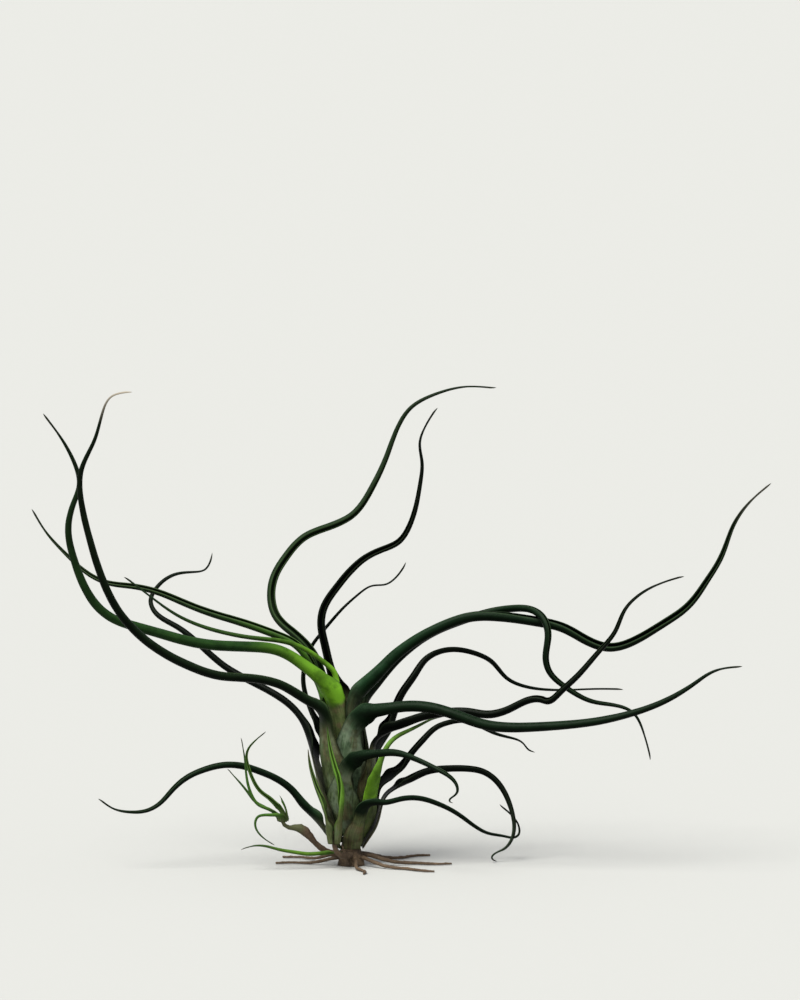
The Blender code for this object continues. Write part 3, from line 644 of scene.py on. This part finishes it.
def even_curve(knots: np.ndarray, values: np.ndarray, at: np.ndarray) -> np.ndarray:
    """Smooth curve through numbers that never swings past its neighbours.

    Args:
        knots: rising parameter of each number.
        values: the numbers.
        at: parameters to read the curve at.

    Returns:
        One number for each parameter.
    """
    gaps = np.diff(knots)
    slopes = np.diff(values) / gaps
    tangents = np.zeros_like(values)
    for i in range(1, len(values) - 1):
        if slopes[i - 1] * slopes[i] > 0.0:
            tangents[i] = 2.0 * slopes[i - 1] * slopes[i] / (slopes[i - 1] + slopes[i])
    tangents[-1] = slopes[-1]
    i = np.clip(np.searchsorted(knots, at, side="right") - 1, 0, len(gaps) - 1)
    t = (at - knots[i]) / gaps[i]
    return (values[i] * (1 + 2 * t) * (1 - t) ** 2 + gaps[i] * tangents[i] * t * (1 - t) ** 2
            + values[i + 1] * t * t * (3 - 2 * t) + gaps[i] * tangents[i + 1] * t * t * (t - 1))


def softened(rows: np.ndarray, spread: float) -> np.ndarray:
    """Running average along a leaf, its ends held.

    Args:
        rows: values along the leaf, one row each.
        spread: reach of the average, in rows.

    Returns:
        As many rows as were given.
    """
    reach = int(math.ceil(3.0 * spread))
    weights = np.exp(-0.5 * (np.arange(-reach, reach + 1) / spread) ** 2)
    padded = np.pad(rows, ((reach, reach), (0, 0)), mode="edge")
    return np.column_stack([np.convolve(column, weights / weights.sum(), "valid") for column in padded.T])


@dataclass
class Section:
    """One cross-section of a leaf: an arc with a wall, open on its upper side."""

    centre: np.ndarray
    dorsal: np.ndarray          # from the centre to the middle of the outer side
    radius: float
    half_angle: float
    wall: float

    @staticmethod
    def _circle(points: np.ndarray) -> tuple[np.ndarray, float, float]:
        """Fit a circle in the plane.

        Args:
            points: points in the plane, one row each.

        Returns:
            Its centre, its radius and the largest distance of a point from it.
        """
        system = np.column_stack((2.0 * points, np.ones(len(points))))
        answer = np.linalg.lstsq(system, (points ** 2).sum(axis=1), rcond=None)[0]
        radius = math.sqrt(max(answer[2] + answer[0] ** 2 + answer[1] ** 2, 0.0))
        miss = np.abs(np.linalg.norm(points - answer[:2], axis=1) - radius).max()
        return answer[:2], radius, float(miss)

    @classmethod
    def read(cls, ring: np.ndarray) -> "Section":
        """Read a section from the points around it.

        Args:
            ring: the points in order; half of them are on the outer arc, half on the inner arc.

        Returns:
            The section.
        """
        middle = ring.mean(axis=0)
        axes = np.linalg.svd(ring - middle)[2][:2]
        flat = (ring - middle) @ axes.T * MM_PER_METRE
        half = len(ring) // 2
        best = None
        for offset in range(len(ring)):
            turned = np.roll(flat, -offset, axis=0)
            centre, radius, miss = cls._circle(turned[:half])
            _, inner, miss_inner = cls._circle(turned[half:])
            if radius > inner and (best is None or miss + miss_inner < best[0]):
                best = (miss + miss_inner, offset, centre, radius, inner)
        _, offset, centre, radius, inner = best
        outer = np.roll(flat, -offset, axis=0)[:half]
        dorsal = (outer[half // 2] - centre) / radius
        first = (outer[0] - centre) / radius
        angle = math.acos(float(np.clip(np.dot(first, dorsal), -1.0, 1.0)))
        return cls(middle + centre @ axes * MM, dorsal @ axes, radius * MM, angle, (radius - inner) * MM)


class LeafReading:
    """The shape of one leaf, read from its frame solid."""

    SHEATH_SECTIONS = 6                      # the first sections lie on the bulb
    SOFTENING = 2.3 * MM                     # how far the bend where the blade leaves the bulb is rounded
    SOFTENED_FROM = (0.5, 0.8)               # where the rounding sets in, as shares of the sheath's length
    SOFTENED_PAST = (4.0 * MM, 9.0 * MM)     # where it fades out, past the sheath
    ROLLING = (-4.0 * MM, 7.0 * MM)          # where the leaf rolls up, from the end of the sheath
    LEVEL_UNTIL = (-7.0 * MM, -2.0 * MM)     # where its sections tilt from level to square, likewise
    READINGS = 40                            # fine steps read for each section
    BEND_COST = 1.5 * MM                     # extra length that a bend counts for, by the angle it turns
    TIP_LENGTH = 6.0                         # how long the rounded tip is, in tip radii
    TIP_WALL = 0.55                          # thinnest wall, in tip radii

    def __init__(self, node: bpy.types.Object) -> None:
        """Read the leaf.

        Args:
            node: the leaf's frame object.
        """
        rings, self.pole = self._rings(node.data)
        self.sections = [Section.read(ring) for ring in rings]

    @staticmethod
    def _rings(mesh: bpy.types.Mesh) -> tuple[list[np.ndarray], np.ndarray]:
        """Sort the skin's points into rings.

        Args:
            mesh: the leaf's skin, as loose triangles.

        Returns:
            The rings from base to tip, each in order around the leaf, and the tip's point.
        """
        bm = bmesh.new()
        bm.from_mesh(mesh)
        bmesh.ops.remove_doubles(bm, verts=bm.verts[:], dist=SAME_POINT)
        pole = max(bm.verts, key=lambda v: len(v.link_edges))
        level = {pole: 0}
        reached = [pole]
        for vert in reached:
            for edge in vert.link_edges:
                other = edge.other_vert(vert)
                if other not in level:
                    level[other] = level[vert] + 1
                    reached.append(other)
        rings = []
        for step in range(max(level.values()), 0, -1):
            start = next(v for v in reached if level[v] == step)
            ring, before, here = [start], None, start
            while True:
                around = [e.other_vert(here) for e in here.link_edges
                          if level[e.other_vert(here)] == step
                          and any(level[v] != step for f in e.link_faces for v in f.verts)]
                following = [v for v in around if v is not before and (v is not start or len(ring) > 2)]
                before, here = here, following[0]
                if here is start:
                    break
                ring.append(here)
            rings.append(np.array([tuple(v.co) for v in ring]))
        tip = np.array(tuple(pole.co))
        bm.free()
        return rings, tip

    def rows(self, step: float, tip_radius: float) -> dict[str, np.ndarray]:
        """Smooth the sections and read them at close, even steps.

        Args:
            step: greatest distance between rows.
            tip_radius: smallest radius, kept almost to the tip, where it rounds off.

        Returns:
            Arrays by name: midrib, dorsal, side, roll (radius, half angle, wall) and place (length,
            share of the free blade, how far the blade is rolled up).
        """
        parts = self.sections
        midrib = np.array([s.centre + s.radius * s.dorsal for s in parts] + [self.pole])
        knots = np.concatenate(((0.0,), np.cumsum(np.linalg.norm(np.diff(midrib, axis=0), axis=1))))
        dense = np.linspace(0.0, knots[-1], self.READINGS * len(knots))
        line = natural_curve(knots, midrib, dense)
        bend = np.linalg.norm(np.diff(unit_rows(np.diff(line, axis=0)), axis=0), axis=1)
        cost = np.linalg.norm(np.diff(line, axis=0), axis=1) + self.BEND_COST * np.append(bend, 0.0)
        spent = np.concatenate(((0.0,), np.cumsum(cost)))
        count = int(spent[-1] / step) + 2
        at = np.interp(np.linspace(0.0, spent[-1], count), spent, dense)

        midrib = natural_curve(knots, midrib, at)
        leave = knots[self.SHEATH_SECTIONS - 1]
        sets_in, full = (share * leave for share in self.SOFTENED_FROM)
        fades, ends = (leave + past for past in self.SOFTENED_PAST)
        bending = ease(at, sets_in, full) * (1.0 - ease(at, fades, ends))
        spread = self.SOFTENING / (knots[-1] / count)
        midrib += bending[:, None] * (softened(midrib, spread) - midrib)
        tangent = unit_rows(np.gradient(midrib, axis=0))
        raw = np.array([s.dorsal for s in parts] + [parts[-1].dorsal])
        dorsal = np.column_stack([even_curve(knots, raw[:, k], at) for k in range(3)])
        dorsal = unit_rows(dorsal + bending[:, None] * (softened(dorsal, spread) - dorsal))
        side = unit_rows(np.cross(self._section_normals(knots, at, tangent), dorsal))
        radius = even_curve(knots, np.array([s.radius for s in parts] + [0.0]), at)
        half = even_curve(knots, np.array([s.half_angle for s in parts] + [parts[-1].half_angle]), at)
        wall = even_curve(knots, np.array([s.wall for s in parts] + [0.0]), at)
        rounding = np.sqrt(np.clip((knots[-1] - at) / (self.TIP_LENGTH * tip_radius), 0.0, 1.0))
        radius = np.maximum(radius, tip_radius * rounding)
        wall = np.maximum(wall, self.TIP_WALL * tip_radius * rounding)
        wall[0] = 0.0
        share = np.clip((at - leave) / (knots[-1] - leave), 0.0, 1.0)
        rolled = ease(at, *(leave + reach for reach in self.ROLLING))
        return {"midrib": midrib, "dorsal": dorsal, "side": side,
                "roll": np.column_stack((radius, half, wall)),
                "place": np.column_stack((at, share, rolled))}

    def _section_normals(self, knots: np.ndarray, at: np.ndarray, tangent: np.ndarray) -> np.ndarray:
        """Direction that the sections face: straight up on the bulb, along the blade past it.

        Args:
            knots: length of the midrib at each section.
            at: length of the midrib at each row.
            tangent: direction of the midrib at each row.

        Returns:
            One direction for each row.
        """
        leave = knots[self.SHEATH_SECTIONS - 1]
        share = ease(at, *(leave + reach for reach in self.LEVEL_UNTIL))[:, None]
        return unit_rows((1.0 - share) * np.array((0.0, 0.0, 1.0)) + share * tangent)


# ---- the rolled leaf as a geometry tree ----

class LeafDetail(Enum):
    """How finely a leaf is woven: points around a section, step between sections, tip radius."""

    CROWN = (48, 0.42 * MM, 0.24 * MM)
    SHOOT = (32, 0.30 * MM, 0.15 * MM)
    DRAFT = (24, 1.20 * MM, 0.20 * MM)


class RolledLeafTree:
    """Geometry tree that lays a closed, thin-edged section along a leaf's midrib."""

    INPUTS = (
        ("Columns", "NodeSocketInt"),
        ("Ribs", "NodeSocketFloat"),
        ("Rib Height", "NodeSocketFloat"),
        ("Unevenness", "NodeSocketFloat"),
        ("Margin Waver", "NodeSocketFloat"),
        ("Seed", "NodeSocketFloat"),
        ("Material", "NodeSocketMaterial"),
    )
    EVEN_SPREAD = 0.7                # how evenly columns lie across; the rest crowd at the margins
    STOUT = (0.5 * MM, 0.3 * MM)     # radius and wall from which ribs and dents are at full height
    DENTS = (160.0, 1.3)             # dents to a metre along the leaf, and from its midrib to a margin
    WAVERS = 420.0                   # wavers of a margin to a metre
    MARGIN_SEED = 7.3                # keeps the margins' pattern apart from the dents'
    DETAIL = 1.5                     # finer levels of both
    CALM = 0.7                       # how much less a margin wavers on the blade than on the bulb

    def __init__(self) -> None:
        """Build the tree."""
        self.tree = bpy.data.node_groups.new("rolled_leaf", "GeometryNodeTree")
        self.tree.interface.new_socket("Geometry", in_out="INPUT", socket_type="NodeSocketGeometry")
        self.tree.interface.new_socket("Geometry", in_out="OUTPUT", socket_type="NodeSocketGeometry")
        for name, kind in self.INPUTS:
            self.tree.interface.new_socket(name, in_out="INPUT", socket_type=kind)
        self.w = Weaver(self.tree)
        self._weave()

    def _sampled(self, spine: bpy.types.NodeSocket, name: str, row: Signal) -> Arrow:
        """A vector of the spine, read at a row.

        Args:
            spine: the spine's geometry.
            name: the attribute to read, or an empty text for the position.
            row: which point of the spine.

        Returns:
            The vector.
        """
        if name:
            source = self.w.node("GeometryNodeInputNamedAttribute", {"data_type": "FLOAT_VECTOR"},
                                 {"Name": name})
        else:
            source = self.w.node("GeometryNodeInputPosition")
        node = self.w.node("GeometryNodeSampleIndex", {"data_type": "FLOAT_VECTOR", "domain": "POINT"},
                           {"Geometry": spine, "Value": source.outputs[0], "Index": row})
        return Arrow(self.w, node.outputs[0])

    def _weave(self) -> None:
        """Lay out the whole tree."""
        w = self.w
        given = w.node("NodeGroupInput").outputs
        spine = given["Geometry"]
        columns, ribs, rib_height, unevenness, waver, seed = (
            Signal(w, given[name]) for name, _ in self.INPUTS[:6])
        rows = w.node("GeometryNodeAttributeDomainSize", {"component": "MESH"}, {"Geometry": spine})
        grid = w.node("GeometryNodeMeshGrid", {}, {
            "Vertices X": rows.outputs["Point Count"], "Vertices Y": columns + 1.0})
        index = Signal(w, w.node("GeometryNodeInputIndex").outputs[0])
        row = (index / (columns + 1.0)).floor()
        turn = (index - row * (columns + 1.0)) / columns
        midrib, dorsal = self._sampled(spine, "", row), self._sampled(spine, "dorsal", row)
        side, place = self._sampled(spine, "side", row), self._sampled(spine, "place", row)
        radius, half_angle, wall = self._sampled(spine, "roll", row).parts()
        length, share, rolled = place.parts()

        angle = turn * (2.0 * math.pi)
        across = ((abs(turn * 4.0 - 2.0) - 1.0) * self.EVEN_SPREAD
                  + angle.cosine() * (1.0 - self.EVEN_SPREAD))
        depth = angle.sine().sign() * (1.0 - (across ** 2.0) ** 3.0).at_least(0.0) ** 0.5
        stout = (radius / self.STOUT[0]).at_most(1.0) * (wall / self.STOUT[1]).at_most(1.0)
        rib = (across * ribs * math.pi).cosine() * rib_height * depth.at_least(0.0) * stout
        dented = w.vector(length * self.DENTS[0], across * self.DENTS[1], share)
        dent = (w.speckle(dented, 1.0, self.DETAIL, seed=seed) - 0.5) * unevenness * stout
        wavered = w.vector(length * self.WAVERS, across.sign(), 0.0)
        edge = ((w.speckle(wavered, 1.0, self.DETAIL, seed=seed + self.MARGIN_SEED) - 0.5)
                * waver * abs(across))
        sweep = across * half_angle * (1.0 + edge * (1.0 - rolled * self.CALM))
        reach = radius - wall * 0.5 + depth * wall * 0.5 + rib + dent
        place_on = midrib - dorsal * radius + (dorsal * sweep.cosine() + side * sweep.sine()) * reach

        geometry = w.node("GeometryNodeSetPosition", {}, {"Geometry": grid.outputs["Mesh"],
                                                          "Position": place_on}).outputs[0]
        flow = w.vector(length, across * half_angle * radius, depth)
        life = w.vector(share, across, rolled)
        # the normal, kept for the finish's painted shade underneath and painted highlight on top
        upward = Arrow(w, w.node("GeometryNodeInputNormal").outputs[0])
        for name, value in ((FLOW, flow), (LIFE, life), (FACES, upward)):
            geometry = w.node("GeometryNodeStoreNamedAttribute",
                              {"data_type": "FLOAT_VECTOR", "domain": "POINT"},
                              {"Geometry": geometry, "Name": name, "Value": value}).outputs[0]
        for kind, sockets in (("GeometryNodeMergeByDistance", {"Distance": SAME_POINT}),
                              ("GeometryNodeSetShadeSmooth", {}),
                              ("GeometryNodeRealizeInstances", {}),
                              ("GeometryNodeSetMaterial", {"Material": given["Material"]})):
            geometry = w.node(kind, {}, {"Geometry": geometry, **sockets}).outputs[0]
        w.node("NodeGroupOutput", {}, {"Geometry": geometry})

    def weave(self, name: str, rows: dict[str, np.ndarray], settings: dict[str, Any]) -> bpy.types.Object:
        """Weave one leaf and turn it into a plain mesh.

        Args:
            name: the piece's name.
            rows: the arrays of a LeafReading.
            settings: values for the tree's inputs, by their names.

        Returns:
            The piece, with no modifier left on it.
        """
        count = len(rows["midrib"])
        mesh = bpy.data.meshes.new(name + "_spine")
        mesh.from_pydata([tuple(p) for p in rows["midrib"]], [(i, i + 1) for i in range(count - 1)], [])
        for key in ("dorsal", "side", "roll", "place"):
            layer = mesh.attributes.new(key, "FLOAT_VECTOR", "POINT")
            layer.data.foreach_set("vector", rows[key].astype(np.float32).ravel())
        piece = put(name, mesh)
        modifier = piece.modifiers.new("rolled leaf", "NODES")
        modifier.node_group = self.tree
        for item in self.tree.interface.items_tree:
            if item.in_out == "INPUT" and item.name in settings:
                modifier[item.identifier] = settings[item.name]
        return bake_piece(piece)


def bake_piece(piece: bpy.types.Object) -> bpy.types.Object:
    """Replace a piece's mesh by its evaluated one and remove its modifiers.

    Args:
        piece: the object with live modifiers.

    Returns:
        The same object.
    """
    graph = bpy.context.evaluated_depsgraph_get()
    graph.update()
    mesh = bpy.data.meshes.new_from_object(piece.evaluated_get(graph), preserve_all_data_layers=True,
                                           depsgraph=graph)
    mesh.name = piece.name
    piece.modifiers.clear()
    piece.data = mesh
    return piece


# ---- sub-assemblies ----

@dataclass
class Foliage:
    """All the leaves of the plant, the bulb's and the side shoots'."""

    unevenness: float = 0.16 * MM
    shoot_unevenness: float = 0.4          # of a side shoot's leaves, as a share of that
    ribs: float = 9.0
    shoot_ribs: float = 5.0
    rib_height: float = 0.022 * MM
    margin_waver: float = 0.10
    seed_step: float = 3.7                 # sets each leaf's unevenness apart from the next one's
    tree: RolledLeafTree = field(default_factory=RolledLeafTree)
    finishes: dict[str, LeafFinish] = field(default_factory=lambda: LEAF_FINISHES)

    def _detail(self, name: str) -> LeafDetail:
        """Choose how finely a leaf is woven.

        Args:
            name: the leaf's node.

        Returns:
            The detail.
        """
        return LeafDetail.CROWN if self._on_bulb(name) else LeafDetail.SHOOT

    @staticmethod
    def _on_bulb(name: str) -> bool:
        """Whether the leaf is one of the main bulb's."""
        return name.startswith("leaf_")

    def build(self) -> list[bpy.types.Object]:
        """Weave every leaf of the frame.

        Returns:
            The pieces.
        """
        pieces = []
        names = sorted(n for n in frame["nodes"] if n != STEM)
        for number, name in enumerate(names):
            columns, step, tip_radius = self._detail(name).value
            finish = self.finishes.get(name, GRASS)
            crown = self._on_bulb(name)
            rows = LeafReading(frame["nodes"][name]).rows(step, tip_radius)
            piece = self.tree.weave(name + "_leaf", rows, {
                "Columns": columns, "Ribs": self.ribs if crown else self.shoot_ribs,
                "Rib Height": self.rib_height,
                "Unevenness": self.unevenness * (1.0 if crown else self.shoot_unevenness),
                "Margin Waver": self.margin_waver, "Seed": self.seed_step * number,
                "Material": finish.dress(name + "_finish")})
            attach(piece, "root")
            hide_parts(name)
            pieces.append(piece)
            LOG.info("%s: %d faces", piece.name, len(piece.data.polygons))
        return pieces


@dataclass
class WoodyStem:
    """Stem, runners and roots in one piece, with bark."""

    weld: float = 1e-6                     # points of the frame's stem nearer than this are one
    voxel: float = 0.13 * MM
    draft_voxel: float = 0.3 * MM
    relaxing: float = 0.5
    relax_rounds: int = 4
    bark: float = 0.10 * MM
    coarse_bark: float = 0.9               # lumps to a millimetre
    fine_bark: float = 2.6                 # the same for the finer ones
    fine_height: float = 0.5               # height of the finer lumps, as a share of the coarse ones'
    finish: WoodFinish = field(default_factory=WoodFinish)

    def build(self) -> bpy.types.Object:
        """Round the frame's stem off and roughen it.

        Returns:
            The piece.
        """
        mesh = frame["nodes"][STEM].data.copy()
        bm = bmesh.new()
        bm.from_mesh(mesh)
        bmesh.ops.remove_doubles(bm, verts=bm.verts[:], dist=self.weld)
        bm.to_mesh(mesh)
        bm.free()
        piece = put(STEM + "_wood", mesh)
        remesh = piece.modifiers.new("remesh", "REMESH")
        remesh.mode = "VOXEL"
        remesh.voxel_size = self.voxel
        relax = piece.modifiers.new("relax", "SMOOTH")
        relax.factor = self.relaxing
        relax.iterations = self.relax_rounds
        bake_piece(piece)
        self._roughen(piece.data)
        piece.data.materials.clear()
        piece.data.materials.append(self.finish.dress("stem_wood_finish", self._shoot_foot()))
        piece.data.shade_smooth()
        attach(piece, "root")
        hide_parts(STEM)
        LOG.info("%s: %d faces", piece.name, len(piece.data.polygons))
        return piece

    @staticmethod
    def _shoot_foot() -> np.ndarray:
        """Where the grassy shoot stands: the middle of its leaves' feet."""
        leaves = [node for name, node in frame["nodes"].items() if name.startswith("grass_pup")]
        return np.mean([LeafReading(node).sections[0].centre for node in leaves], axis=0)

    def _roughen(self, mesh: bpy.types.Mesh) -> None:
        """Raise bark on the wood, leaving its flat underside flat.

        Args:
            mesh: the wood's skin.
        """
        floor = CAD_BOX[0][2]
        normals = np.array([tuple(n.vector) for n in mesh.vertex_normals])
        points = np.array([tuple(v.co) for v in mesh.vertices])
        for i, (point, normal) in enumerate(zip(points, normals)):
            spot = Vector(point) * MM_PER_METRE
            fine = self.fine_height * noise.noise(spot * self.fine_bark)
            lumps = noise.noise(spot * self.coarse_bark) + fine
            points[i] = point + normal * self.bark * lumps * (1.0 - max(-normal[2], 0.0))
        points[:, 2] = np.maximum(points[:, 2], floor)
        mesh.vertices.foreach_set("co", points.ravel())
        mesh.update()


@dataclass
class Studio:
    """Plain pale floor, soft light and the camera."""

    floor_reach: float = 40.0
    floor_gap: float = 0.02 * MM    # keeps the floor clear of the stem's cut face
    floor_colour: Colour = (0.441, 0.444, 0.424)
    floor_roughness: float = 0.9
    floor_specular: float = 0.1
    sky: Colour = (0.93, 0.95, 1.0)
    sky_strength: float = 0.62
    key_strength: float = 5.3
    key_spread: float = 38.0
    key_colour: Colour = (1.0, 0.985, 0.95)
    key_tilt: float = 38.0
    key_heading: float = -32.0
    elevation: float = 7.0
    distance: float = 4.5
    sensor: float = 36.0
    sight: tuple[float, float] = (0.05, 200.0)
    frame_share: float = 1.081      # width of the view as a share of the plant's
    aim_height: float = 0.742       # height that the camera looks at, as a share of the plant's

    def build(self) -> None:
        """Make the floor, the lights and the camera."""
        self._floor()
        self._light()
        self._camera()
        LOG.info("studio: floor, light and camera")

    def _floor(self) -> None:
        """One large pale plane under the plant."""
        bm = bmesh.new()
        bmesh.ops.create_grid(bm, x_segments=1, y_segments=1, size=self.floor_reach)
        mesh = bpy.data.meshes.new("floor")
        bm.to_mesh(mesh)
        bm.free()
        mesh.transform(Matrix.Translation((0.0, 0.0, CAD_BOX[0][2] - self.floor_gap)))
        floor = put("floor", mesh)
        material = bpy.data.materials.new("pale_floor")
        material.use_nodes = True
        shader = material.node_tree.nodes["Principled BSDF"]
        shader.inputs["Base Color"].default_value = (*self.floor_colour, 1.0)
        shader.inputs["Roughness"].default_value = self.floor_roughness
        shader.inputs["Specular IOR Level"].default_value = self.floor_specular
        mesh.materials.append(material)

    def _light(self) -> None:
        """Even pale surroundings and one broad soft key light from the upper left."""
        world = bpy.data.worlds.new("surroundings")
        world.use_nodes = True
        background = world.node_tree.nodes["Background"]
        background.inputs["Color"].default_value = (*self.sky, 1.0)
        background.inputs["Strength"].default_value = self.sky_strength
        bpy.context.scene.world = world
        light = bpy.data.lights.new("key", "SUN")
        light.energy = self.key_strength
        light.angle = math.radians(self.key_spread)
        light.color = self.key_colour
        key = put("key", light)
        key.rotation_euler = (math.radians(self.key_tilt), 0.0, math.radians(self.key_heading))
        bpy.context.scene.view_settings.view_transform = "Standard"

    def _camera(self) -> None:
        """A long lens in front of the plant, a little above it."""
        low, high = CAD_BOX
        width = (high[0] - low[0]) * self.frame_share
        aim = Vector(((low[0] + high[0]) / 2.0, 0.0, low[2] + (high[2] - low[2]) * self.aim_height))
        rise = math.radians(self.elevation)
        lens = bpy.data.cameras.new("camera")
        lens.sensor_fit = "HORIZONTAL"
        lens.sensor_width = self.sensor
        lens.lens = self.distance * lens.sensor_width / width
        lens.clip_start, lens.clip_end = self.sight
        camera = put("camera", lens)
        camera.location = aim + Vector((0.0, -math.cos(rise), math.sin(rise))) * self.distance
        camera.rotation_euler = (math.radians(90.0 - self.elevation), 0.0, 0.0)
        bpy.context.scene.camera = camera


def main() -> None:
    """Build the plant and its studio."""
    Studio().build()
    WoodyStem().build()
    Foliage().build()
    bpy.context.view_layer.update()


if __name__ == "__main__":
    main()
